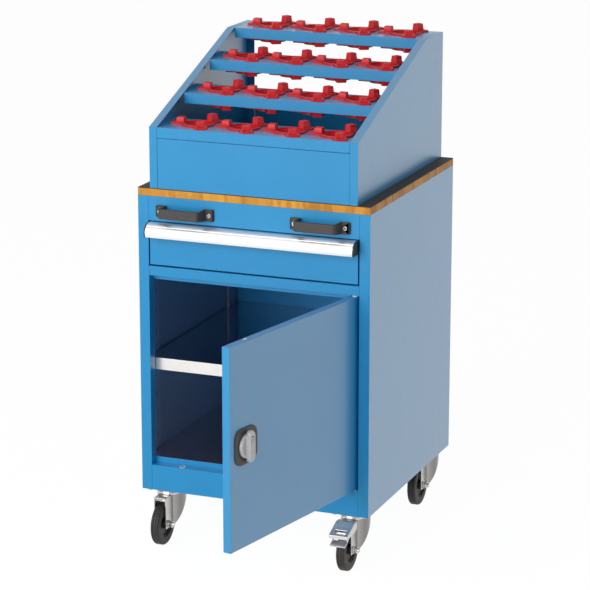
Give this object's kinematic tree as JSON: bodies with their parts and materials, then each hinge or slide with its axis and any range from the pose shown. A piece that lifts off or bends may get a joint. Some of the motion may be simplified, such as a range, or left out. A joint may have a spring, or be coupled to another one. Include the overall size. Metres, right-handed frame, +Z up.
{
  "type": "cnc tool cabinet",
  "caption": "Mobile sheet-metal tool cabinet: a drawer, an inset door with a rod lock, a shelf, a worktop and a stepped rack of tool sockets, on swivel castors.",
  "frame": {"origin": "on the floor, under the centre of the body, which is 560 mm wide and 570 mm deep", "axes": "+Z up, -Y the front with the drawer and door, +X the side that the door is hung on"},
  "size_m": [0.56, 1.0469, 1.1685],
  "materials": {
    "body_blue": "satin powder coat",
    "inner_blue": "satin powder coat",
    "rack_blue": "satin powder coat",
    "shelf_grey": "galvanised",
    "board": "sealed edge",
    "surface_layer": "matt laminate",
    "socket_red": "moulded, semi-gloss",
    "handle_dark": "fine texture",
    "grip_metal": "anodised",
    "cap_black": "moulded",
    "zinc": "zinc plated",
    "bush_white": "moulded",
    "surround_grey": "fine texture",
    "lock_silver": "silver paint",
    "key_chrome": "polished",
    "tread": "rubber",
    "rim_grey": "moulded"
  },
  "bodies": {
    "cabinet": {"side_panel_left": "body_blue", "side_panel_right": "body_blue", "back_panel": "body_blue", "base_panel": "inner_blue", "floor_panel": "inner_blue", "plinth_rail": "body_blue", "mid_rail": "body_blue", "handle_fascia": "body_blue", "top_panel": "inner_blue", "shelf_uprights": "inner_blue", "shelf": "shelf_grey", "shelf_clips": "zinc", "worktop_board": "board", "worktop_laminate": "surface_layer", "fixing_screws": "zinc", "rack_side_left": "rack_blue", "rack_side_right": "rack_blue", "rack_front_panel": "rack_blue", "rack_back_panel": "rack_blue", "rack_shelves": "rack_blue", "tool_inserts": "socket_red", "push_handle_left": "handle_dark", "push_handle_right": "handle_dark", "cabinet_runners": "zinc", "hinge_pins": "zinc", "castor_plates": "zinc", "castor_bolts": "zinc"},
    "door": {"door_skin": "body_blue", "door_inner_panel": "body_blue", "hinge_bushes": "bush_white", "lock_surround": "surround_grey"},
    "lock": {"lock_handle": "lock_silver", "lock_cam": "zinc"},
    "key_barrel": {"lock_cylinder": "key_chrome"},
    "rod_top": {"locking_rod_top": "zinc"},
    "rod_bottom": {"locking_rod_bottom": "zinc"},
    "drawer": {"drawer_box": "inner_blue", "drawer_front": "body_blue", "drawer_grip": "grip_metal", "grip_end_caps": "cap_black", "drawer_runners": "zinc"},
    "runner_middle": {"middle_runners": "zinc"},
    "brake": {"brake_pedal": "zinc"},
    "swivel_front_left": {"fork_front_left": "zinc", "axle_front_left": "zinc"},
    "wheel_front_left": {"tyre_front_left": "tread", "rim_front_left": "rim_grey"},
    "swivel_front_right": {"fork_front_right": "zinc", "axle_front_right": "zinc", "brake_cover": "zinc"},
    "wheel_front_right": {"tyre_front_right": "tread", "rim_front_right": "rim_grey"},
    "swivel_rear_left": {"fork_rear_left": "zinc", "axle_rear_left": "zinc"},
    "wheel_rear_left": {"tyre_rear_left": "tread", "rim_rear_left": "rim_grey"},
    "swivel_rear_right": {"fork_rear_right": "zinc", "axle_rear_right": "zinc"},
    "wheel_rear_right": {"tyre_rear_right": "tread", "rim_rear_right": "rim_grey"}
  },
  "joints": [
    {"name": "door_hinge", "type": "hinge", "parent": "cabinet", "child": "door", "pos_m": [0.243, -0.277, 0.41725], "axis": [0, 0, 1], "range_deg": [-78, 30]},
    {"name": "lock_turn", "type": "hinge", "parent": "door", "child": "lock", "pos_m": [0.15976, -0.70709, 0.41725], "axis": [0.9781, -0.2079, 0], "range_deg": [0, 90]},
    {"name": "key_turn", "type": "hinge", "parent": "lock", "child": "key_barrel", "pos_m": [0.15976, -0.70709, 0.43325], "axis": [0.9781, -0.2079, 0], "range_deg": [0, 90]},
    {"name": "rod_top_slide", "type": "slide", "parent": "door", "child": "rod_top", "axis": [0, 0, 1], "range_m": [0, 0.017]},
    {"name": "rod_bottom_slide", "type": "slide", "parent": "door", "child": "rod_bottom", "axis": [0, 0, -1], "range_m": [0, 0.017]},
    {"name": "drawer_slide", "type": "slide", "parent": "cabinet", "child": "drawer", "axis": [0, -1, 0], "range_m": [0, 0.44]},
    {"name": "runner_slide", "type": "slide", "parent": "cabinet", "child": "runner_middle", "axis": [0, -1, 0], "range_m": [0, 0.22]},
    {"name": "swivel_front_left", "type": "hinge", "parent": "cabinet", "child": "swivel_front_left", "pos_m": [-0.2297, -0.2417, 0.11], "axis": [0, 0, 1], "continuous": true},
    {"name": "wheel_front_left", "type": "hinge", "parent": "swivel_front_left", "child": "wheel_front_left", "pos_m": [-0.2297, -0.2837, 0.05], "axis": [1, 0, 0], "continuous": true},
    {"name": "swivel_front_right", "type": "hinge", "parent": "cabinet", "child": "swivel_front_right", "pos_m": [0.2297, -0.2417, 0.11], "axis": [0, 0, 1], "continuous": true},
    {"name": "wheel_front_right", "type": "hinge", "parent": "swivel_front_right", "child": "wheel_front_right", "pos_m": [0.2297, -0.2837, 0.05], "axis": [1, 0, 0], "continuous": true},
    {"name": "swivel_rear_left", "type": "hinge", "parent": "cabinet", "child": "swivel_rear_left", "pos_m": [-0.2297, 0.2417, 0.11], "axis": [0, 0, 1], "continuous": true},
    {"name": "wheel_rear_left", "type": "hinge", "parent": "swivel_rear_left", "child": "wheel_rear_left", "pos_m": [-0.2297, 0.1997, 0.05], "axis": [1, 0, 0], "continuous": true},
    {"name": "swivel_rear_right", "type": "hinge", "parent": "cabinet", "child": "swivel_rear_right", "pos_m": [0.2297, 0.2417, 0.11], "axis": [0, 0, 1], "continuous": true},
    {"name": "wheel_rear_right", "type": "hinge", "parent": "swivel_rear_right", "child": "wheel_rear_right", "pos_m": [0.2297, 0.1997, 0.05], "axis": [1, 0, 0], "continuous": true},
    {"name": "brake_press", "type": "hinge", "parent": "swivel_front_right", "child": "brake", "pos_m": [0.2297, -0.3157, 0.1], "axis": [1, 0, 0], "range_deg": [0, 15]}
  ],
  "couplings": [
    {"joint": "rod_top_slide", "follows": "lock_turn", "m_per_rad": 0.010803},
    {"joint": "rod_bottom_slide", "follows": "lock_turn", "m_per_rad": 0.010803},
    {"joint": "runner_slide", "follows": "drawer_slide", "ratio": 0.5}
  ]
}
